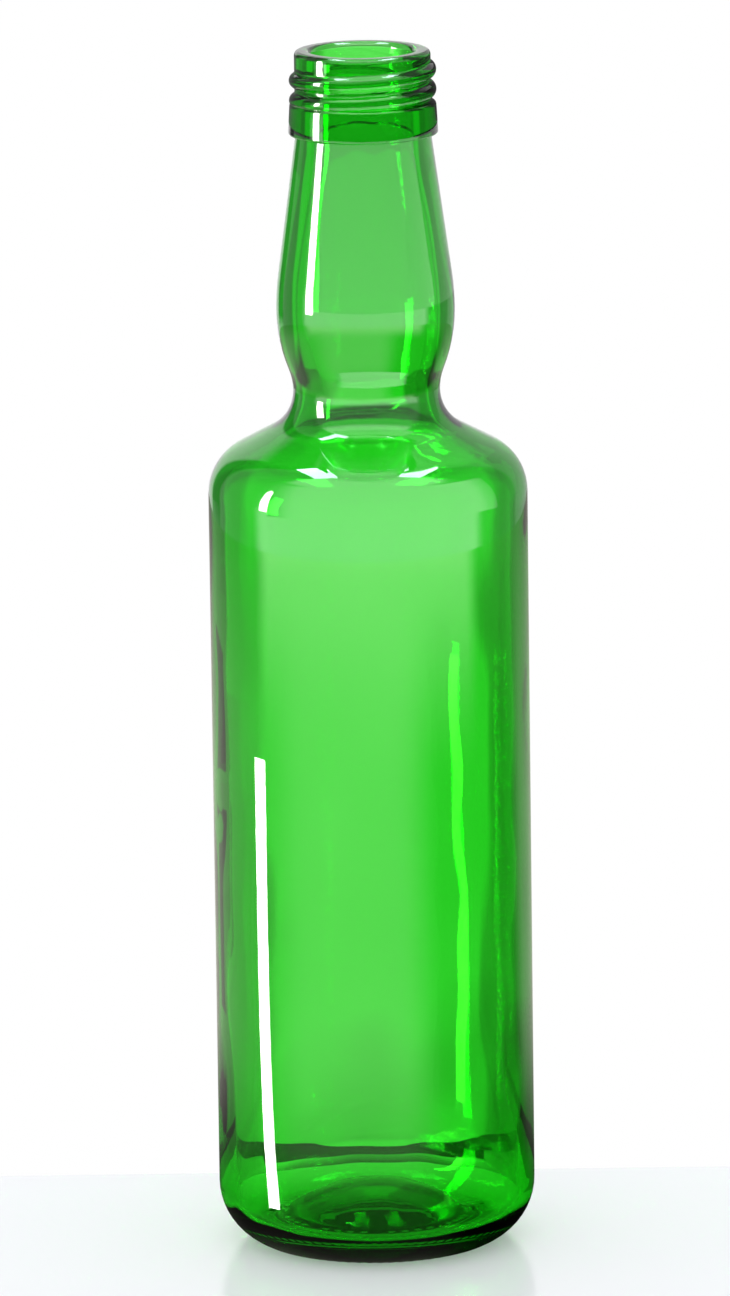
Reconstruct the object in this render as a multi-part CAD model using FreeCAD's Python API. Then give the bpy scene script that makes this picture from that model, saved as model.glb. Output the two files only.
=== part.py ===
"""Green glass beverage bottle with a bulbed neck, a roll-on cap finish and a push-up base.

The bottle is one piece of blown glass, so it is one solid. Its section is drawn once,
outside and inside, as straight runs and tangent arcs, and turned about the Z axis.
Then the ring that it stands on is knurled.
Z points up, the origin is the centre of that ring, and all sizes are millimetres.
Heights on the neck are measured down from the top of the lip and heights in the base
up from the ring, so a taller bottle has a longer body.
"""
import FreeCAD, Part

import math
import os

# Whole bottle
HEIGHT = 228.0
BODY_DIAMETER = 60.0
BODY_WALL = 2.6

# Heel: the rounded corner between the body and the ring that the bottle stands on
HEEL_RADIUS = 12.0
RING_INSET = 8.3            # from the body's side in to the edge of the ring's flat
RING_WIDTH = 2.6
RING_EDGE_RADIUS = 3.0
INNER_HEEL_RADIUS = 5.5

# Push-up: the domed middle of the base and the flat band round it
PUSH_UP_HEIGHT = 6.2
BAND_HEIGHT = 1.4
BAND_WIDTH = 3.0
STEP_WIDTH = 1.1            # how far the step from the ring up to the band runs inwards
STEP_RADIUS = 0.8
DOME_SHARE = 0.72           # part of the dome's S-curve that bulges, by radius
BASE_THICKNESS = 4.5        # at the centre of the push-up
VALLEY_THICKNESS = 3.2      # over the band, where the inside of the base is lowest

# Knurling: short radial grooves across the ring, open at the heel
GROOVES = 72
GROOVE_WIDTH = 0.8
GROOVE_DEPTH = 0.25
PLAIN_RING_WIDTH = 1.0      # inner part of the ring that the grooves leave whole

# Neck, measured down from the top of the lip
BULB_DROP = 49.0
BULB_DIAMETER = 33.5
BULB_SHARE = 0.73           # part of the waist's S-curve that bulges, by radius
BULB_UPPER_RADIUS = 50.0
WAIST_BELOW_BULB = 15.3
WAIST_DIAMETER = 27.6
WAIST_RADIUS = 8.0          # hollow curve from the shoulder up to the waist
SHOULDER_RADIUS = 10.0
SHOULDER_SLOPE = 28.0       # degrees from level, on the straight run under the waist
NECK_WALL = 3.0

# Finish: the collar that holds the cap's tamper band, the wall above it and the lip
FINISH_DIAMETER = 25.5      # the wall that carries the cap's thread
COLLAR_DROP = 15.8          # top of the lip to the collar's underside
COLLAR_HEIGHT = 6.2
COLLAR_PROUD = 1.3          # beyond the finish wall, at the collar's lower edge
COLLAR_TAPER = 0.35         # how much less it stands out at its upper edge
COLLAR_UPPER_RADIUS = 0.9
COLLAR_LOWER_RADIUS = 0.45
COLLAR_ROOT_RADIUS = 0.4
NECK_TOP_INSET = 0.1        # the neck under the collar, in from the finish wall
LIP_OUTER_RADIUS = 1.0
LIP_INNER_RADIUS = 1.2
LIP_SHARE = 0.4             # most of the wall that one rounding of the lip may take
BORE_DIAMETER = 19.0
BORE_DEPTH = 19.0           # straight bore, measured down from the top of the lip

AXIS = FreeCAD.Vector(0, 0, 1)


def at(radius, height):
    """A point of the section, in the XZ plane."""
    return FreeCAD.Vector(radius, 0.0, height)


class Section:
    """A section drawn as one chain, each arc joined by a line to what came before it."""

    def __init__(self, radius, height):
        self.edges = []
        self.end = at(radius, height)

    def line(self, radius, height):
        """A straight run to a point, left out where the chain is already at that point."""
        point = at(radius, height)
        if point.distanceToPoint(self.end) > 1e-6:
            self.edges.append(Part.makeLine(self.end, point))
            self.end = point

    def arc(self, centre, radius, start, finish):
        """An arc about a centre, between two angles counted from the outward direction."""
        first, middle, last = (
            at(centre[0] + radius * math.cos(turn), centre[1] + radius * math.sin(turn))
            for turn in map(math.radians, (start, (start + finish) / 2, finish)))
        self.line(first.x, first.z)
        self.edges.append(Part.Arc(self.end, middle, last).toShape())
        self.end = last

    def arcs(self, pieces):
        """Arcs in turn, each given as (centre, radius, start, finish)."""
        for piece in pieces:
            self.arc(*piece)

    def corners(self, *corners):
        """Straight runs through (radius, height, rounding) corners, ending at the last one."""
        for corner, after in zip(corners, corners[1:]):
            point = at(corner[0], corner[1])
            back = (self.end - point).normalize()
            onward = (at(after[0], after[1]) - point).normalize()
            half_angle = back.getAngle(onward) / 2
            reach = corner[2] / math.tan(half_angle)
            to_arc = corner[2] / math.sin(half_angle) - corner[2]
            middle = point + (back + onward).normalize() * to_arc
            first = point + back * reach
            last = point + onward * reach
            self.line(first.x, first.z)
            self.edges.append(Part.Arc(self.end, middle, last).toShape())
            self.end = last
        self.line(corners[-1][0], corners[-1][1])


def drawn_back(pieces):
    """The same arcs in the other direction along the chain."""
    return [(centre, radius, finish, start) for centre, radius, start, finish in reversed(pieces)]


def s_curve_radii(along, across, share):
    """Radii of two tangent arcs between parallel directions; the first takes the share."""
    total = (along * along + across * across) / (2 * across)
    return total * share, total * (1 - share)


def dome(top_height, foot_radius, foot_height):
    """An S-curve from the axis, level at the top and level again at its foot."""
    bulge, hollow = s_curve_radii(foot_radius, top_height - foot_height, DOME_SHARE)
    turn = math.degrees(math.asin(foot_radius / (bulge + hollow)))
    return [
        ((0, top_height - bulge), bulge, 90, 90 - turn),
        ((foot_radius, foot_height + hollow), hollow, 270 - turn, 270),
    ]


def heel():
    """The outside of the heel: a small arc off the ring, then the large one up to the body."""
    ring_edge = BODY_DIAMETER / 2 - RING_INSET
    heel_centre = BODY_DIAMETER / 2 - HEEL_RADIUS
    across = ring_edge - heel_centre
    link = HEEL_RADIUS - RING_EDGE_RADIUS
    rise = math.sqrt(link * link - across * across)
    turn = math.degrees(math.atan2(-rise, across))
    return [
        ((ring_edge, RING_EDGE_RADIUS), RING_EDGE_RADIUS, -90, turn),
        ((heel_centre, RING_EDGE_RADIUS + rise), HEEL_RADIUS, turn, 0),
    ]


def shoulder_and_neck(wall_side, neck_side, top):
    """One surface from the body up to the point top, set in from the outside of the glass.

    wall_side and neck_side are how far in it lies on the body and on the neck: zero for
    the outside, and the wall's thickness for the inside.
    """
    body_radius = BODY_DIAMETER / 2 - wall_side
    shoulder_radius = SHOULDER_RADIUS - wall_side
    waist_radius = WAIST_DIAMETER / 2 - neck_side
    hollow_radius = WAIST_RADIUS + neck_side
    bulb_radius = BULB_DIAMETER / 2 - neck_side
    bulb_upper = BULB_UPPER_RADIUS - neck_side
    bulb_height = HEIGHT - BULB_DROP
    waist_height = bulb_height - WAIST_BELOW_BULB

    # The shoulder turns in to the slope and the hollow over it turns back by as much.
    slope = math.radians(SHOULDER_SLOPE)
    across = (waist_radius + hollow_radius) - (body_radius - shoulder_radius)
    drop = (hollow_radius + shoulder_radius) / math.cos(slope) - across * math.tan(slope)
    shoulder_centre = (body_radius - shoulder_radius, waist_height - drop)
    turn = 90 - SHOULDER_SLOPE

    # The waist swells into the bulb by an S-curve, upright at both ends.
    bulge, hollow = s_curve_radii(WAIST_BELOW_BULB, bulb_radius - waist_radius, BULB_SHARE)
    lean = math.degrees(math.asin(WAIST_BELOW_BULB / (bulge + hollow)))

    # The arc over the bulb ends where its tangent goes through the top point.
    upper_centre = (bulb_radius - bulb_upper, bulb_height)
    to_top = math.atan2(top[1] - upper_centre[1], top[0] - upper_centre[0])
    taper = math.degrees(to_top - math.acos(bulb_upper / math.dist(upper_centre, top)))

    return [
        (shoulder_centre, shoulder_radius, 0, turn),
        ((waist_radius + hollow_radius, waist_height), hollow_radius, 180 + turn, 180),
        ((waist_radius + hollow, waist_height), hollow, 180, 180 - lean),
        ((bulb_radius - bulge, bulb_height), bulge, -lean, 0),
        (upper_centre, bulb_upper, 0, taper),
    ]


def draw_underside(section):
    """From the axis out to the ring: the push-up, the band round it and the step down."""
    ring_edge = BODY_DIAMETER / 2 - RING_INSET
    ring_inner = ring_edge - RING_WIDTH
    band_outer = ring_inner - STEP_WIDTH
    section.arcs(dome(PUSH_UP_HEIGHT, band_outer - BAND_WIDTH, BAND_HEIGHT))
    section.corners(
        (band_outer, BAND_HEIGHT, STEP_RADIUS),
        (ring_inner, 0, STEP_RADIUS),
        (ring_edge, 0),
    )


def draw_finish(section):
    """The collar, the wall above it, the lip and the bore."""
    neck_top = FINISH_DIAMETER / 2 - NECK_TOP_INSET
    collar_bottom = HEIGHT - COLLAR_DROP
    collar_top = collar_bottom + COLLAR_HEIGHT
    collar_radius = FINISH_DIAMETER / 2 + COLLAR_PROUD
    lip_limit = LIP_SHARE * (FINISH_DIAMETER - BORE_DIAMETER) / 2
    section.corners(
        (neck_top, collar_bottom, COLLAR_ROOT_RADIUS),
        (collar_radius, collar_bottom, COLLAR_LOWER_RADIUS),
        (collar_radius - COLLAR_TAPER, collar_top, COLLAR_UPPER_RADIUS),
        (FINISH_DIAMETER / 2, collar_top, COLLAR_ROOT_RADIUS),
        (FINISH_DIAMETER / 2, HEIGHT, min(LIP_OUTER_RADIUS, lip_limit)),
        (BORE_DIAMETER / 2, HEIGHT, min(LIP_INNER_RADIUS, lip_limit)),
        (BORE_DIAMETER / 2, HEIGHT - BORE_DEPTH),
    )


def draw_inside(section):
    """From the bore down the inside of the neck, the body and the base to the axis."""
    corner_radius = BODY_DIAMETER / 2 - BODY_WALL - INNER_HEEL_RADIUS
    valley_height = BAND_HEIGHT + VALLEY_THICKNESS
    bore_end = (BORE_DIAMETER / 2, HEIGHT - BORE_DEPTH)
    section.arcs(drawn_back(shoulder_and_neck(BODY_WALL, NECK_WALL, bore_end)))
    section.arc((corner_radius, valley_height + INNER_HEEL_RADIUS), INNER_HEEL_RADIUS, 0, -90)
    section.arcs(drawn_back(dome(PUSH_UP_HEIGHT + BASE_THICKNESS, corner_radius, valley_height)))


def blown_glass():
    """The plain bottle: its closed section turned about the axis."""
    neck_end = (FINISH_DIAMETER / 2 - NECK_TOP_INSET, HEIGHT - COLLAR_DROP)
    section = Section(0, PUSH_UP_HEIGHT)
    draw_underside(section)
    section.arcs(heel())
    section.arcs(shoulder_and_neck(0, 0, neck_end))
    draw_finish(section)
    draw_inside(section)
    section.line(0, PUSH_UP_HEIGHT)
    face = Part.Face(Part.Wire(section.edges))
    return face.revolve(at(0, 0), AXIS, 360)


def knurling():
    """The grooves across the ring, half a pitch off the X axis, as tools to cut with."""
    ring_edge = BODY_DIAMETER / 2 - RING_INSET
    start = ring_edge - RING_WIDTH + PLAIN_RING_WIDTH
    length = ring_edge + RING_EDGE_RADIUS - start
    pitch = 360 / GROOVES
    grooves = []
    for number in range(GROOVES):
        corner = FreeCAD.Vector(start, -GROOVE_WIDTH / 2, -GROOVE_DEPTH)
        groove = Part.makeBox(length, GROOVE_WIDTH, 2 * GROOVE_DEPTH, corner)
        groove.rotate(at(0, 0), AXIS, (number + 0.5) * pitch)
        grooves.append(groove)
    return grooves


def main():
    bottle = blown_glass().cut(knurling())
    os.makedirs("parts", exist_ok=True)
    bottle.Solids[0].exportStep("parts/bottle.step")


main()
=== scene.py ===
import math

import bmesh
import bpy
from mathutils import Matrix, Vector, noise


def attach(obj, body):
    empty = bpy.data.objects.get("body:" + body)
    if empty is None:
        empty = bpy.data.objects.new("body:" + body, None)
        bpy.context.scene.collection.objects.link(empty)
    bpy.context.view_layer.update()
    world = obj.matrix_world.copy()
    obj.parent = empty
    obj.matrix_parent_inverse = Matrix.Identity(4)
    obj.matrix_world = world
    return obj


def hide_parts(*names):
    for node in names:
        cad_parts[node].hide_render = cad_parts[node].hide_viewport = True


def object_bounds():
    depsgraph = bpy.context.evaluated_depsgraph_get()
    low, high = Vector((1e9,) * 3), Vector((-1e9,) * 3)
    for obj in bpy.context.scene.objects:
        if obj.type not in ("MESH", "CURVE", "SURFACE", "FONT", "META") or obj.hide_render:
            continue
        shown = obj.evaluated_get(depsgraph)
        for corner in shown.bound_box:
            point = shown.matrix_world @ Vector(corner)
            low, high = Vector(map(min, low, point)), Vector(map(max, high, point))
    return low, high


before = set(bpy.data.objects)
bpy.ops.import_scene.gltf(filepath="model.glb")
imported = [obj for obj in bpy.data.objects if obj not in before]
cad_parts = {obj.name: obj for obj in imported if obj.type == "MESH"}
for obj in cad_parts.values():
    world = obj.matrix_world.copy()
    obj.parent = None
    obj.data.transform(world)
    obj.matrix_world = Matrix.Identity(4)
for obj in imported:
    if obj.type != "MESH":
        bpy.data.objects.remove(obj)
cad_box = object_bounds()

# Everything below is in metres; MM turns a size in millimetres into metres. Angles are in
# degrees. BODY, BULB, WAIST, FINISH and BORE are radii, and so is every name that ends in RADIUS.
MM = 0.001

# Body
HEIGHT = cad_box[1][2] - cad_box[0][2]
BODY = 30.0 * MM
BODY_WALL = 2.6 * MM

# Heel and the ring that the bottle stands on
HEEL_RADIUS = 12.0 * MM
RING_INSET = 8.3 * MM
RING_WIDTH = 2.6 * MM
RING_EDGE_RADIUS = 3.0 * MM
INNER_HEEL_RADIUS = 5.5 * MM

# Push-up
PUSH_UP_HEIGHT = 6.2 * MM
BAND_HEIGHT = 1.4 * MM
BAND_WIDTH = 3.0 * MM
STEP_WIDTH = 1.1 * MM
STEP_RADIUS = 0.8 * MM
DOME_SHARE = 0.72
BASE_THICKNESS = 4.5 * MM
VALLEY_THICKNESS = 3.2 * MM

# Neck, measured down from the top of the lip
BULB_DROP = 49.0 * MM
BULB = 16.75 * MM
BULB_SHARE = 0.73
BULB_UPPER_RADIUS = 50.0 * MM
WAIST_BELOW_BULB = 15.3 * MM
WAIST = 13.8 * MM
WAIST_RADIUS = 8.0 * MM
SHOULDER_RADIUS = 10.0 * MM
SHOULDER_SLOPE = 28.0
NECK_WALL = 3.0 * MM

# Finish
FINISH = 12.75 * MM
COLLAR_DROP = 15.8 * MM
COLLAR_HEIGHT = 6.2 * MM
COLLAR_PROUD = 1.3 * MM
COLLAR_TAPER = 0.35 * MM
COLLAR_UPPER_RADIUS = 0.9 * MM
COLLAR_LOWER_RADIUS = 0.45 * MM
COLLAR_ROOT_RADIUS = 0.4 * MM
NECK_TOP_INSET = 0.1 * MM
LIP_OUTER_RADIUS = 1.0 * MM
LIP_INNER_RADIUS = 1.2 * MM
BORE = 9.5 * MM
BORE_DEPTH = 19.0 * MM

# Screw thread: a round bead on the finish wall, right-handed
THREAD_PITCH = 3.75 * MM
THREAD_CREST = 1.03 * MM        # above the finish wall
THREAD_BEAD_RADIUS = 1.5 * MM
THREAD_TOP_DROP = 3.75 * MM     # crest below the lip where it crosses the +X side
THREAD_LEAD_IN = 50.0           # past the +X side where the bead begins, at the back
THREAD_TURNS = 1.85
THREAD_FADE = 35.0              # over which each end of the bead sinks away

# Knurling of the ring
GROOVES = 72
GROOVE_DEPTH = 0.25 * MM
PLAIN_RING_WIDTH = 1.0 * MM

# Row of round pips under the base
PIP_CIRCLE = 16.1 * MM
PIP_RADIUS = 1.1 * MM
PIP_HEIGHT = 0.7 * MM
PIP_FLANK = 1.6                 # above 1 the pip has a flat top and steeper flanks
PIP_SPACING = 9.0
PIP_GROUP = 4                   # pips in a row before one is left out

# Waves of the blown inside: how far it wanders, spread round the bottle, height of a wave
INSIDE_WAVES = (
    (0.28 * MM, 1.3, 38 * MM),
    (0.13 * MM, 3.4, 17 * MM),
)

# Mesh density: steps round the bottle, then the largest steps along its section
STEPS_PER_GROOVE = 4
STEPS = STEPS_PER_GROOVE * GROOVES
ARC_STEP = 7.0
ARC_CHORD = 2.2 * MM
BAND_CHORD = 0.3 * MM
RING_CHORD = 0.5 * MM
OUTER_CHORD = 12.0 * MM
THREAD_CHORD = 0.27 * MM
INSIDE_NECK_CHORD = 3.0 * MM
INSIDE_BODY_CHORD = 2.4 * MM
SAME_POINT = 1e-3 * MM

# Glass: its colour is what is left of red, green and blue at the density that goes with it
GLASS_IOR = 1.52
GLASS_COLOUR = (0.06, 0.896, 0.0, 1)
GLASS_DENSITY = 720.0
RIPPLE_SCALE = (320, 320, 26)
RIPPLE_DETAIL = 2.0
RIPPLE_STRENGTH = 0.25
RIPPLE_DEPTH = 0.02 * MM

# Table
TABLE_REACH = 3.0
TABLE_FAR_EDGE = 47 * MM
TABLE_COLOUR = (0.70, 0.71, 0.75, 1)
TABLE_GLOW_COLOUR = (0.97, 0.97, 1.0, 1)
TABLE_GLOW = 0.24
TABLE_ROUGHNESS = 0.16
TABLE_IOR = 1.3

# The table as the glass reflects it
MIRROR_TABLE_COLOUR = (1, 1, 0.86)
MIRROR_TABLE_RINGS = 40
MIRROR_TABLE_RING_GAP = 20 * MM
MIRROR_TABLE_SUNK = 1 * MM
MIRROR_TABLE_STEPS = 120
LEFT_LEVEL = 0.7
RIGHT_LEVEL = 0.08
BACK_RIGHT_LEVEL = 0.53
FAR_LEVEL = 0.35
FRONT_LEVEL = 1.6
LIT_LEVEL = 3.4                 # far off in front, where the lamps light the table
FOOT_SHADOW_SHARE = 0.05               # of the level that is left at the foot of the bottle, a painted shadow in the reflected table

# Room that the glass sees: a ball round the bottle. Each zone is (first turn, last turn, soft
# edge, lowest rise, highest rise, soft edge, level): turns from straight in front, positive to
# the right, and rises from level. A later zone covers the earlier ones.
ROOM_RADIUS = 2.5
ROOM_RISE_STEP = 3
ROOM_STEPS = 180
ROOM_THROUGH = [
    (134, 171, 3, -90, 60, 10, 0.45),       # behind, right
    (-171, -155, 3, -90, 60, 10, 0.62),     # behind, left
    (-153, -138, 3, -90, 60, 10, 0.4),      # further left
    (-180, 180, 1, 45, 90, 12, 0.25),       # ceiling
    (-180, 180, 1, -90, -20, 5, 0.08),      # floor
]
ROOM_REFLECTED = [
    (-80, 80, 15, -25, -2, 4, 3.6),         # bright band below, in front
    (-80, 80, 15, 54, 84, 6, 3.6),          # bright band above, in front
    (95, 150, 15, -90, 90, 1, 0.35),        # right side
    (134, 170, 4, -90, 90, 1, 0.6),         # right, behind
    (-132, -92, 8, -90, 90, 1, 0.5),        # left side
    (-150, -136, 4, -11, 60, 1, 0.12),      # dark panel, left, behind
    (-180, 180, 1, -90, -35, 10, 0.03),     # floor
    (-180, 180, 1, 80, 90, 8, 2.4),         # ceiling
]

# Upright sheets round the bottle, and the lamps overhead
SHEET_ROWS = 12
SHEET_TURN_STEP = 5
SHEET_LEAST_STEPS = 4
WHITE = (1, 1, 1)
COLLAR_FOOT = 211.6 * MM        # just under the collar, where the neck's shades meet the finish's
FLAG_LEVEL = 0.03
LAMP_COLOUR = (0.75, 0.9, 1.0)
LAMP_STRENGTH = 22
LAMP_SIZE = (0.26, 0.6)
LAMP_CENTRE = (0.40, 0.24, 1.35)

# Camera: a long lens a little above the bottle; lens and sensor are in millimetres
CAMERA_DISTANCE = 2.05
CAMERA_RISE = 11.8
CAMERA_TILT = -0.765
CAMERA_AIM = (-0.95 * MM, 0, 114 * MM)
SENSOR_HEIGHT = 36.0
LENS = 301.97222

# Parts of the surface that are worked on after the spin
PLAIN, INSIDE, THREADED, RING, BAND = range(5)


class Section:
    """The bottle's section as one chain of points, with the region that each lies in."""

    def __init__(self, radius, height):
        self.points = [(radius, height, PLAIN)]

    def add(self, radius, height, region):
        """A point, unless it lies on the last one."""
        last = self.points[-1]
        if math.hypot(radius - last[0], height - last[1]) > SAME_POINT:
            self.points.append((radius, height, region))

    def line(self, radius, height, region=PLAIN, chord=None):
        """A straight run, cut into pieces no longer than the chord where one is given."""
        start = self.points[-1]
        length = math.hypot(radius - start[0], height - start[1])
        count = max(1, math.ceil(length / chord)) if chord else 1
        for number in range(1, count + 1):
            share = number / count
            self.add(blend(start[0], radius, share), blend(start[1], height, share), region)

    def arc(self, centre, radius, start, finish, region=PLAIN, chord=None):
        """An arc between two angles, with a straight run to its first point."""
        first = (centre[0] + radius * math.cos(math.radians(start)),
                 centre[1] + radius * math.sin(math.radians(start)))
        self.line(first[0], first[1], region, chord)
        span = abs(finish - start)
        count = max(2, math.ceil(span / ARC_STEP),
                    math.ceil(math.radians(span) * radius / ARC_CHORD))
        for number in range(1, count + 1):
            angle = math.radians(blend(start, finish, number / count))
            self.add(centre[0] + radius * math.cos(angle),
                     centre[1] + radius * math.sin(angle), region)

    def arcs(self, pieces, region=PLAIN, chord=None):
        """One arc after another, each joined to the last."""
        for centre, radius, start, finish in pieces:
            self.arc(centre, radius, start, finish, region, chord)

    def corners(self, corners, region=PLAIN, chord=None):
        """Straight runs through (radius, height, rounding) corners."""
        for corner, after in zip(corners, corners[1:]):
            point = Vector((corner[0], corner[1]))
            back = (Vector(self.points[-1][:2]) - point).normalized()
            onward = (Vector(after[:2]) - point).normalized()
            half_angle = back.angle(onward) / 2
            middle = (back + onward).normalized()
            centre = point + middle * (corner[2] / math.sin(half_angle))
            reach = corner[2] / math.tan(half_angle)
            first = point + back * reach - centre
            last = point + onward * reach - centre
            start = math.degrees(math.atan2(first.y, first.x))
            turn = math.degrees(math.atan2(first.cross(last), first.dot(last)))
            self.arc(centre, corner[2], start, start + turn, region, chord)
        self.line(corners[-1][0], corners[-1][1], region, chord)


def blend(value, goal, share):
    return value + (goal - value) * share


def smooth_step(value):
    value = min(1.0, max(0.0, value))
    return value * value * (3 - 2 * value)


def inside_zone(value, low, high, soft):
    """1 between low and high, falling smoothly to 0 over the distance soft beyond each."""
    return smooth_step((value - low) / soft + 1) * smooth_step((high - value) / soft + 1)


def turn_of(point):
    """The turn of a point round the bottle, from straight in front, positive to the right."""
    return math.degrees(math.atan2(point.x, -point.y))


def spin_chain(bm, chain, steps, angle=math.tau):
    """Turn a chain of vertices about the bottle's axis."""
    edges = [bm.edges.new(pair) for pair in zip(chain, chain[1:])]
    bmesh.ops.spin(bm, geom=chain + edges, cent=(0, 0, 0), axis=(0, 0, 1), dvec=(0, 0, 0),
                   angle=angle, steps=steps, use_merge=angle == math.tau, use_duplicate=False)


def add_object(name, bm):
    """A finished bmesh as an object at the origin."""
    mesh = bpy.data.meshes.new(name)
    bm.to_mesh(mesh)
    bm.free()
    piece = bpy.data.objects.new(name, mesh)
    bpy.context.scene.collection.objects.link(piece)
    return piece


def drawn_back(pieces):
    """The same arcs, run from the last point to the first."""
    return [(centre, radius, finish, start) for centre, radius, start, finish in reversed(pieces)]


def s_curve_radii(along, across, share):
    """The radii of two arcs that meet in one line and step across over the distance along."""
    total = (along * along + across * across) / (2 * across)
    return total * share, total * (1 - share)


def dome(top_height, foot_radius, foot_height):
    """An S-curve from the axis, level at the top and level again at its foot."""
    bulge, hollow = s_curve_radii(foot_radius, top_height - foot_height, DOME_SHARE)
    turn = math.degrees(math.asin(foot_radius / (bulge + hollow)))
    return [
        ((0, top_height - bulge), bulge, 90, 90 - turn),
        ((foot_radius, foot_height + hollow), hollow, 270 - turn, 270),
    ]


def heel():
    """A small arc off the ring, then the large one up to the body."""
    ring_edge = BODY - RING_INSET
    heel_centre = BODY - HEEL_RADIUS
    across = ring_edge - heel_centre
    link = HEEL_RADIUS - RING_EDGE_RADIUS
    rise = math.sqrt(link * link - across * across)
    turn = math.degrees(math.atan2(-rise, across))
    return [
        ((ring_edge, RING_EDGE_RADIUS), RING_EDGE_RADIUS, -90, turn),
        ((heel_centre, RING_EDGE_RADIUS + rise), HEEL_RADIUS, turn, 0),
    ]


def shoulder_and_neck(body_in, neck_in, top):
    """The body's edge up to the point top, set in by the wall where it is the inside."""
    body_radius = BODY - body_in
    shoulder_radius = SHOULDER_RADIUS - body_in
    waist_radius = WAIST - neck_in
    hollow_radius = WAIST_RADIUS + neck_in
    bulb_radius = BULB - neck_in
    bulb_upper = BULB_UPPER_RADIUS - neck_in
    bulb_height = HEIGHT - BULB_DROP
    waist_height = bulb_height - WAIST_BELOW_BULB

    slope = math.radians(SHOULDER_SLOPE)
    across = (waist_radius + hollow_radius) - (body_radius - shoulder_radius)
    drop = (hollow_radius + shoulder_radius) / math.cos(slope) - across * math.tan(slope)
    shoulder_centre = (body_radius - shoulder_radius, waist_height - drop)
    turn = 90 - SHOULDER_SLOPE

    bulge, hollow = s_curve_radii(WAIST_BELOW_BULB, bulb_radius - waist_radius, BULB_SHARE)
    lean = math.degrees(math.asin(WAIST_BELOW_BULB / (bulge + hollow)))

    upper_centre = (bulb_radius - bulb_upper, bulb_height)
    to_top = math.atan2(top[1] - upper_centre[1], top[0] - upper_centre[0])
    taper = math.degrees(to_top - math.acos(bulb_upper / math.dist(upper_centre, top)))

    return [
        (shoulder_centre, shoulder_radius, 0, turn),
        ((waist_radius + hollow_radius, waist_height), hollow_radius, 180 + turn, 180),
        ((waist_radius + hollow, waist_height), hollow, 180, 180 - lean),
        ((bulb_radius - bulge, bulb_height), bulge, -lean, 0),
        (upper_centre, bulb_upper, 0, taper),
    ]


def bottle_section():
    """The closed section of the glass, from the axis under the base to the axis inside it."""
    ring_edge = BODY - RING_INSET
    ring_inner = ring_edge - RING_WIDTH
    band_outer = ring_inner - STEP_WIDTH
    band_inner = band_outer - BAND_WIDTH
    neck_top = FINISH - NECK_TOP_INSET
    collar_bottom = HEIGHT - COLLAR_DROP
    collar_top = collar_bottom + COLLAR_HEIGHT
    collar_radius = FINISH + COLLAR_PROUD
    bore_foot = (BORE, HEIGHT - BORE_DEPTH)
    corner_radius = BODY - BODY_WALL - INNER_HEEL_RADIUS
    valley_height = BAND_HEIGHT + VALLEY_THICKNESS

    section = Section(0, PUSH_UP_HEIGHT)
    section.arcs(dome(PUSH_UP_HEIGHT, band_inner, BAND_HEIGHT))
    section.line(band_outer - STEP_RADIUS, BAND_HEIGHT, BAND, BAND_CHORD)
    section.corners([
        (band_outer, BAND_HEIGHT, STEP_RADIUS),
        (ring_inner, 0, STEP_RADIUS),
        (ring_inner + PLAIN_RING_WIDTH, 0),
    ])
    section.line(ring_edge, 0, RING, RING_CHORD)
    edge_arc, heel_arc = heel()
    section.arcs([edge_arc], RING)
    section.arcs([heel_arc])
    section.arcs(shoulder_and_neck(0, 0, (neck_top, collar_bottom)), PLAIN, OUTER_CHORD)
    section.corners([
        (neck_top, collar_bottom, COLLAR_ROOT_RADIUS),
        (collar_radius, collar_bottom, COLLAR_LOWER_RADIUS),
        (collar_radius - COLLAR_TAPER, collar_top, COLLAR_UPPER_RADIUS),
        (FINISH, collar_top, COLLAR_ROOT_RADIUS),
        (FINISH, collar_top + COLLAR_ROOT_RADIUS),
    ], THREADED)
    section.line(FINISH, HEIGHT - LIP_OUTER_RADIUS, THREADED, THREAD_CHORD)
    section.corners([
        (FINISH, HEIGHT, LIP_OUTER_RADIUS),
        (BORE, HEIGHT, LIP_INNER_RADIUS),
        bore_foot,
    ])
    section.arcs(drawn_back(shoulder_and_neck(BODY_WALL, NECK_WALL, bore_foot)),
                 INSIDE, INSIDE_NECK_CHORD)
    section.arc((corner_radius, valley_height + INNER_HEEL_RADIUS), INNER_HEEL_RADIUS,
                0, -90, INSIDE, INSIDE_BODY_CHORD)
    section.arcs(drawn_back(dome(PUSH_UP_HEIGHT + BASE_THICKNESS, corner_radius, valley_height)),
                 INSIDE)
    return section.points


def thread_height(angle, height):
    """How far the thread stands off the finish wall at an angle and a height."""
    length = 360 * THREAD_TURNS
    sunk = THREAD_BEAD_RADIUS - THREAD_CREST
    best = 0.0
    for turn in range(math.ceil(THREAD_TURNS) + 1):
        along = THREAD_LEAD_IN + 360 * turn - angle      # length of bead already run
        crest = HEIGHT - THREAD_TOP_DROP - THREAD_PITCH * (along - THREAD_LEAD_IN) / 360
        across = height - crest
        if 0 <= along <= length and abs(across) < THREAD_BEAD_RADIUS:
            fade = min(along, length - along) / THREAD_FADE
            bead = math.sqrt(THREAD_BEAD_RADIUS ** 2 - across ** 2) - sunk
            best = max(best, bead - THREAD_CREST * (1 - smooth_step(fade)))
    return best


def pip_height(angle, radius):
    """How far a pip hangs below the flat band under the base."""
    number = round(angle / PIP_SPACING)
    if number % (PIP_GROUP + 1) == 0:
        return 0.0
    along = math.radians(angle - number * PIP_SPACING) * radius
    away = math.hypot(along, radius - PIP_CIRCLE) / PIP_RADIUS
    return PIP_HEIGHT * smooth_step(PIP_FLANK * (1 - away))


def uneven_inside(angle, height):
    """How far the blown inside wanders from its even wall."""
    turn = math.radians(angle)
    wander = 0.0
    for size, spread, rise in INSIDE_WAVES:
        spot = Vector((math.cos(turn) * spread, math.sin(turn) * spread, height / rise))
        wander += size * noise.noise(spot)
    return wander


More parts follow.
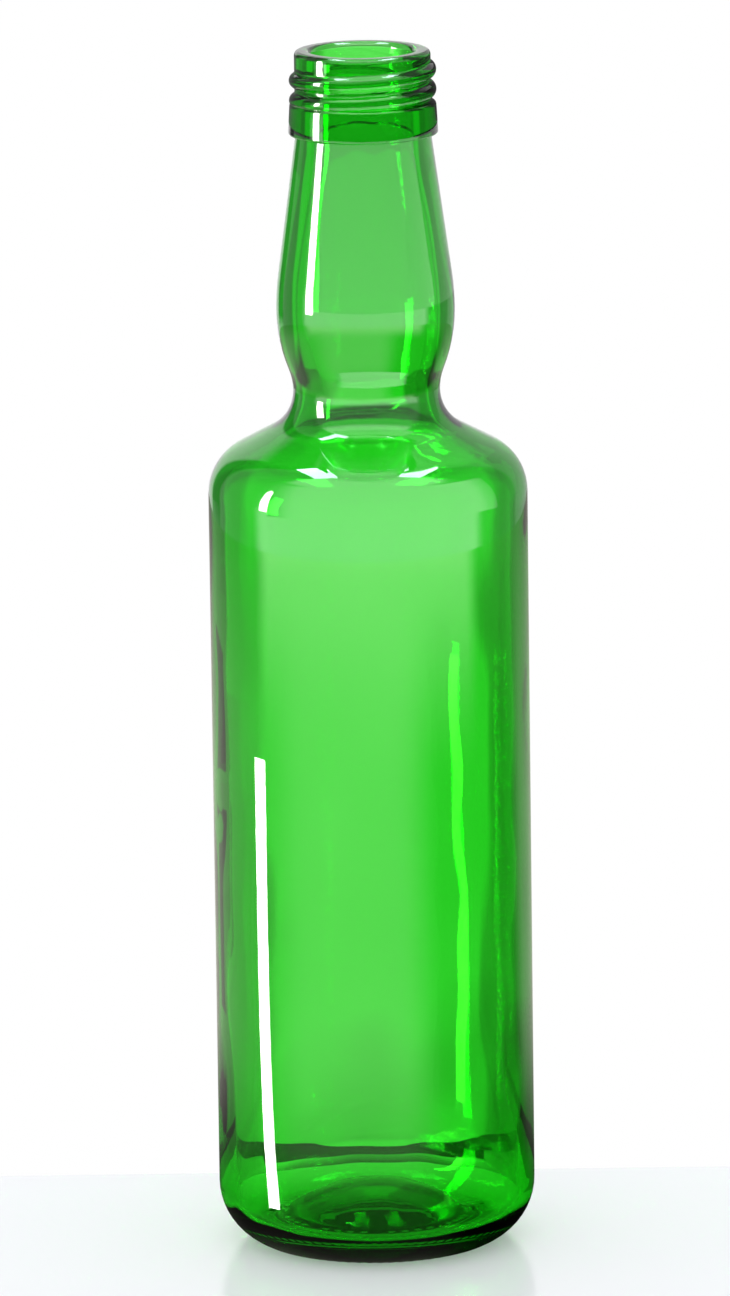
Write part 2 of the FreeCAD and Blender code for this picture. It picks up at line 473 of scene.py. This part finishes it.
def in_groove(angle):
    """Whether an angle falls in the groove half of a rib and groove of the knurling."""
    step = round(angle / 360 * STEPS) % STEPS_PER_GROOVE
    return step >= STEPS_PER_GROOVE / 2


def shape_point(vertex, kind):
    """Move one point of the spun bottle for the thread, pips, knurling or uneven inside."""
    radius = math.hypot(vertex.co.x, vertex.co.y)
    if kind == PLAIN or radius < 1 * MM:
        return
    angle = math.degrees(math.atan2(vertex.co.y, vertex.co.x)) % 360
    grown = radius
    if kind == THREADED:
        grown = max(radius, FINISH + thread_height(angle, vertex.co.z))
    elif kind == INSIDE:
        grown = radius + uneven_inside(angle, vertex.co.z)
    elif kind == BAND:
        vertex.co.z -= pip_height(angle, radius)
    elif kind == RING and in_groove(angle):
        vertex.co.z = max(vertex.co.z, GROOVE_DEPTH)
    vertex.co.x *= grown / radius
    vertex.co.y *= grown / radius


def blow_bottle():
    """The section spun round the axis, then threaded, knurled and made uneven inside."""
    bm = bmesh.new()
    region = bm.verts.layers.int.new("region")
    chain = []
    for radius, height, kind in bottle_section():
        vertex = bm.verts.new((radius, 0, height))
        vertex[region] = kind
        chain.append(vertex)
    spin_chain(bm, chain, STEPS)
    bmesh.ops.remove_doubles(bm, verts=bm.verts, dist=SAME_POINT)
    for vertex in bm.verts:
        shape_point(vertex, vertex[region])
    bmesh.ops.recalc_face_normals(bm, faces=bm.faces)
    piece = add_object("bottle_glass", bm)
    piece.data.polygons.foreach_set("use_smooth", [True] * len(piece.data.polygons))
    return piece


def green_glass():
    """Clear glass that takes its green from its own thickness, with a faint upright ripple."""
    material = bpy.data.materials.new("green_glass")
    material.use_nodes = True
    nodes = material.node_tree.nodes
    links = material.node_tree.links
    surface = nodes["Principled BSDF"]
    surface.inputs["Base Color"].default_value = (1, 1, 1, 1)
    surface.inputs["Roughness"].default_value = 0.0
    surface.inputs["IOR"].default_value = GLASS_IOR
    surface.inputs["Transmission Weight"].default_value = 1.0
    place = nodes.new("ShaderNodeTexCoord")
    stretch = nodes.new("ShaderNodeMapping")
    stretch.inputs["Scale"].default_value = RIPPLE_SCALE
    ripple = nodes.new("ShaderNodeTexNoise")
    ripple.inputs["Scale"].default_value = 1.0
    ripple.inputs["Detail"].default_value = RIPPLE_DETAIL
    bump = nodes.new("ShaderNodeBump")
    bump.inputs["Strength"].default_value = RIPPLE_STRENGTH
    bump.inputs["Distance"].default_value = RIPPLE_DEPTH
    absorption = nodes.new("ShaderNodeVolumeAbsorption")
    absorption.inputs["Color"].default_value = GLASS_COLOUR
    absorption.inputs["Density"].default_value = GLASS_DENSITY
    links.new(place.outputs["Object"], stretch.inputs["Vector"])
    links.new(stretch.outputs["Vector"], ripple.inputs["Vector"])
    links.new(ripple.outputs["Fac"], bump.inputs["Height"])
    links.new(bump.outputs["Normal"], surface.inputs["Normal"])
    links.new(absorption.outputs[0], nodes["Material Output"].inputs["Volume"])
    return material


def table():
    """The white table, whose far edge is close behind the bottle."""
    bm = bmesh.new()
    bmesh.ops.create_grid(bm, x_segments=1, y_segments=1, size=1.0)
    for vertex in bm.verts:
        vertex.co.x *= TABLE_REACH
        vertex.co.y = TABLE_FAR_EDGE if vertex.co.y > 0 else -TABLE_REACH
    top = add_object("table", bm)
    top.visible_glossy = False
    material = bpy.data.materials.new("table_white")
    material.use_nodes = True
    surface = material.node_tree.nodes["Principled BSDF"]
    surface.inputs["Base Color"].default_value = TABLE_COLOUR
    surface.inputs["Emission Color"].default_value = TABLE_GLOW_COLOUR
    surface.inputs["Emission Strength"].default_value = TABLE_GLOW
    surface.inputs["Roughness"].default_value = TABLE_ROUGHNESS
    surface.inputs["IOR"].default_value = TABLE_IOR
    top.data.materials.append(material)


def white_surroundings():
    """An even white world."""
    world = bpy.data.worlds.new("studio_white")
    world.use_nodes = True
    bpy.context.scene.world = world
    background = world.node_tree.nodes["Background"]
    background.inputs["Color"].default_value = (1, 1, 1, 1)
    background.inputs["Strength"].default_value = 1.0


def add_sheet(bm, material, reflected, through):
    """Add a sheet that shows only in reflections, or only in the view through the glass."""
    sheet = add_object(material.name, bm)
    sheet.data.materials.append(material)
    sheet.visible_camera = False
    sheet.visible_diffuse = False
    sheet.visible_shadow = False
    sheet.visible_glossy = reflected
    sheet.visible_transmission = through


def glowing(name, colour, strength, attribute=None, one_sided=False, mirrored=False, reach=None):
    """
    A material that gives off an even light, or one that a vertex attribute scales.

    A one-sided sheet is clear from behind, a mirrored one is clear to light paths that have
    met no reflection on their way, and one with a reach is seen only over those distances.
    """
    material = bpy.data.materials.new(name)
    material.use_nodes = True
    nodes = material.node_tree.nodes
    links = material.node_tree.links
    nodes.remove(nodes["Principled BSDF"])
    emission = nodes.new("ShaderNodeEmission")
    emission.inputs["Color"].default_value = (*colour, 1)
    emission.inputs["Strength"].default_value = strength
    if attribute:
        level = nodes.new("ShaderNodeAttribute")
        level.attribute_name = attribute
        links.new(level.outputs["Fac"], emission.inputs["Strength"])
    tests = []
    if one_sided:
        tests.append((nodes.new("ShaderNodeNewGeometry").outputs["Backfacing"], "LESS_THAN", 0.5))
    if mirrored or reach:
        path = nodes.new("ShaderNodeLightPath").outputs
    if mirrored:
        tests.append((path["Glossy Depth"], "GREATER_THAN", 0.5))
    if reach:
        tests.append((path["Ray Length"], "GREATER_THAN", reach[0]))
        tests.append((path["Ray Length"], "LESS_THAN", reach[1]))
    seen = emission.outputs[0]
    for value, kind, limit in tests:
        test = nodes.new("ShaderNodeMath")
        test.operation = kind
        test.inputs[1].default_value = limit
        clear = nodes.new("ShaderNodeBsdfTransparent")
        choice = nodes.new("ShaderNodeMixShader")
        links.new(value, test.inputs[0])
        links.new(test.outputs[0], choice.inputs[0])
        links.new(clear.outputs[0], choice.inputs[1])
        links.new(seen, choice.inputs[2])
        seen = choice.outputs[0]
    links.new(seen, nodes["Material Output"].inputs["Surface"])
    return material


def room(name, zones, reflected, through):
    """The room as the glass sees it, lit zone by zone."""
    bm = bmesh.new()
    rises = [math.radians(rise) for rise in range(-90, 91, ROOM_RISE_STEP)]
    chain = [bm.verts.new((0, ROOM_RADIUS * math.cos(rise), ROOM_RADIUS * math.sin(rise)))
             for rise in rises]
    spin_chain(bm, chain, ROOM_STEPS)
    bmesh.ops.remove_doubles(bm, verts=bm.verts, dist=SAME_POINT)
    level = bm.verts.layers.float.new("level")
    for vertex in bm.verts:
        turn = turn_of(vertex.co)
        rise = math.degrees(math.atan2(vertex.co.z, math.hypot(vertex.co.x, vertex.co.y)))
        value = 1.0
        for first, last, soft, low, high, soft_rise, glow in zones:
            share = inside_zone(turn, first, last, soft) * inside_zone(rise, low, high, soft_rise)
            value = blend(value, glow, share)
        vertex[level] = value
        vertex.co.z += HEIGHT / 2
    add_sheet(bm, glowing(name, WHITE, 1.0, "level"), reflected, through)


def table_level(turn, away):
    """How bright the reflected table is, at a turn and a distance from the bottle, with a painted
    shadow round the bottle's foot.
    """
    far = smooth_step((away - 0.45) / 0.33)
    front = inside_zone(turn, -45, 15, 35)
    lit = inside_zone(turn, -75, 70, 15) * far
    out_of_foot_shadow = smooth_step((away - 60 * MM) / (160 * MM))
    to_the_right = smooth_step((turn + 20) / 60)
    past_the_right = smooth_step((turn - 115) / 20)
    value = LEFT_LEVEL + (RIGHT_LEVEL - LEFT_LEVEL) * to_the_right
    value += (BACK_RIGHT_LEVEL - RIGHT_LEVEL) * past_the_right
    value = blend(value, FAR_LEVEL, far)
    value = blend(value, FRONT_LEVEL, front)
    # painted shadow: the reflected table darkens towards the bottle's foot
    value *= blend(FOOT_SHADOW_SHARE, 1, out_of_foot_shadow)
    return blend(value, LIT_LEVEL, lit)


def reflected_table():
    """
    The table as the bottle's reflections see it, with painted light and shade: a painted shadow
    round the foot, brighter in front the further off it is, and duller at the sides.
    """
    bm = bmesh.new()
    chain = [bm.verts.new((0, -(ring + 0.1) * MIRROR_TABLE_RING_GAP, -MIRROR_TABLE_SUNK))
             for ring in range(MIRROR_TABLE_RINGS)]
    spin_chain(bm, chain, MIRROR_TABLE_STEPS)
    level = bm.verts.layers.float.new("level")
    for vertex in bm.verts:
        vertex[level] = table_level(turn_of(vertex.co), math.hypot(vertex.co.x, vertex.co.y))
    add_sheet(bm, glowing("reflected_table", MIRROR_TABLE_COLOUR, 1.0, "level"), True, False)


def upright(name, turn, heights, distance, colour, strength, reflected=True, through=True,
            bend=0.0, mirrored=False, reach=None, fade=0.0):
    """
    An upright light or shade, curved round the bottle and seen from inside only.

    Turn and heights give its edges; bend turns its foot aside, and over the angle fade its
    strength falls to that of the white surroundings at either side.
    """
    bm = bmesh.new()
    chain = []
    for row in range(SHEET_ROWS + 1):
        share = row / SHEET_ROWS
        start = math.radians(turn[0] + bend * (1 - share) ** 4)
        chain.append(bm.verts.new((distance * math.sin(start), -distance * math.cos(start),
                                   blend(heights[0], heights[1], share))))
    width = turn[1] - turn[0]
    steps = max(SHEET_LEAST_STEPS, round(width / SHEET_TURN_STEP))
    spin_chain(bm, chain, steps, math.radians(width))
    bm.normal_update()
    for face in bm.faces:
        if face.normal.xy.dot(face.calc_center_median().xy) > 0:
            face.normal_flip()
    if fade:
        level = bm.verts.layers.float.new("level")
        for vertex in bm.verts:
            share = inside_zone(turn_of(vertex.co), turn[0] + fade, turn[1] - fade, fade)
            vertex[level] = blend(1, strength, share)
    material = glowing(name, colour, strength, "level" if fade else None, True, mirrored, reach)
    add_sheet(bm, material, reflected, through)


def shade_behind_table():
    """A dark sheet across the back of the table, sagging in the middle and seen only through the
    glass: painted shade beyond the table's back edge.
    """
    width, foot, top, behind = 0.3, 2.8 * MM, 5.8 * MM, 48 * MM
    sag, sag_reach = 1.2 * MM, 25 * MM
    bm = bmesh.new()
    bmesh.ops.create_grid(bm, x_segments=60, y_segments=1, size=0.5)
    for vertex in bm.verts:
        across = vertex.co.x * width
        height = top if vertex.co.y > 0 else foot
        height += sag * min(1.0, (across / sag_reach) ** 2)
        vertex.co = (across, behind, height)
    add_sheet(bm, glowing("shade_behind_table", WHITE, 0.04), False, True)


def shade_under():
    """The shadow under the push-up, as the glass shows it."""
    bm = bmesh.new()
    bmesh.ops.create_circle(bm, cap_ends=True, segments=64, radius=14 * MM)
    bmesh.ops.translate(bm, vec=(0, 0, 0.2 * MM), verts=bm.verts)
    add_sheet(bm, glowing("shade_under", WHITE, 0.02), False, True)


def streak_lights():
    """The lights that make the long streaks and the shoulder's glow, and a shade beside them."""
    upright("strip_front", (-72.5, -64), (0, 90 * MM), 60 * MM, (1.0, 1.0, 0.95), 30,
            through=False, bend=6, reach=(31 * MM, 43 * MM))
    upright("strip_rear", (-101, -90), (1 * MM, 95 * MM), 50 * MM, (1.0, 0.75, 0.5), 150,
            reflected=False, mirrored=True)
    upright("shade_left", (-93, -70), (0, 105 * MM), 40 * MM, WHITE, 0.5,
            reflected=False, mirrored=True)
    upright("glow_shoulder", (-40, 55), (144 * MM, 153.5 * MM), 30.6 * MM, WHITE, 3.6,
            through=False, fade=12)


def flags_behind():
    """Two dark cards at the left, behind the bottle, one over the other."""
    for name, heights in (("flag_low", (-21 * MM, 12 * MM)), ("flag_high", (24 * MM, 60 * MM))):
        upright(name, (-153, -139), heights, 0.3, WHITE, FLAG_LEVEL, reflected=False)


def shades_round_top():
    """Shades near the neck and the finish: four that they reflect, two behind them."""
    finish = (COLLAR_FOOT, HEIGHT)
    neck = (180 * MM, COLLAR_FOOT)
    for name, turn, heights, strength in (
            ("shade_finish", (-48, 150), finish, 0.1),
            ("shade_finish_left", (-150, -68), finish, 0.2),
            ("shade_neck", (-48, 70), neck, 2.3),
            ("shade_neck_right", (70, 150), neck, 0.8)):
        upright(name, turn, heights, 25 * MM, WHITE, strength, through=False)
    for name, heights, strength in (
            ("dim_behind_finish", (205 * MM, 219 * MM), 0.6),
            ("dim_behind_neck", (160 * MM, 205 * MM), 0.8)):
        upright(name, (130, 230), heights, 30 * MM, WHITE, strength, reflected=False)


def high_light():
    """A tall light further off at the left, reaching above the lip."""
    upright("strip_high", (-83, -71), (0.11, 0.42), 0.5, (1.0, 1.0, 0.9), 40)


def ceiling_lamps():
    """Two level rectangular lamps overhead, one to each side."""
    x, y, z = LAMP_CENTRE
    for name, side in (("ceiling_lamp_left", -1), ("ceiling_lamp_right", 1)):
        bm = bmesh.new()
        bmesh.ops.create_grid(bm, x_segments=1, y_segments=1, size=0.5)
        bmesh.ops.scale(bm, vec=(*LAMP_SIZE, 1), verts=bm.verts)
        bmesh.ops.translate(bm, vec=(side * x, y, z), verts=bm.verts)
        add_sheet(bm, glowing(name, LAMP_COLOUR, LAMP_STRENGTH), True, True)


def studio():
    """A white table and room, with lights and shades that only the glass sees."""
    table()
    white_surroundings()
    reflected_table()
    room("room_through", ROOM_THROUGH, reflected=False, through=True)
    room("room_reflected", ROOM_REFLECTED, reflected=True, through=False)
    streak_lights()
    flags_behind()
    shades_round_top()
    shade_behind_table()
    shade_under()
    high_light()
    ceiling_lamps()


def camera():
    """A long lens a little above the bottle, with the slight tilt of a hand-held view."""
    rise = math.radians(CAMERA_RISE)
    aim = Vector(CAMERA_AIM)
    data = bpy.data.cameras.new("camera")
    data.sensor_fit = "VERTICAL"
    data.sensor_height = SENSOR_HEIGHT
    data.lens = LENS
    data.clip_start = 0.1
    eye = bpy.data.objects.new("camera", data)
    eye.location = aim + CAMERA_DISTANCE * Vector((0, -math.cos(rise), math.sin(rise)))
    level = (aim - eye.location).to_track_quat("-Z", "Y").to_matrix().to_4x4()
    tilt = Matrix.Rotation(math.radians(CAMERA_TILT), 4, "Z")
    eye.matrix_world = Matrix.Translation(eye.location) @ level @ tilt
    bpy.context.scene.collection.objects.link(eye)
    bpy.context.scene.camera = eye


bottle = blow_bottle()
bottle.data.materials.append(green_glass())
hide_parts("bottle")
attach(bottle, "root")

studio()
camera()
bpy.context.scene.view_settings.view_transform = "Standard"
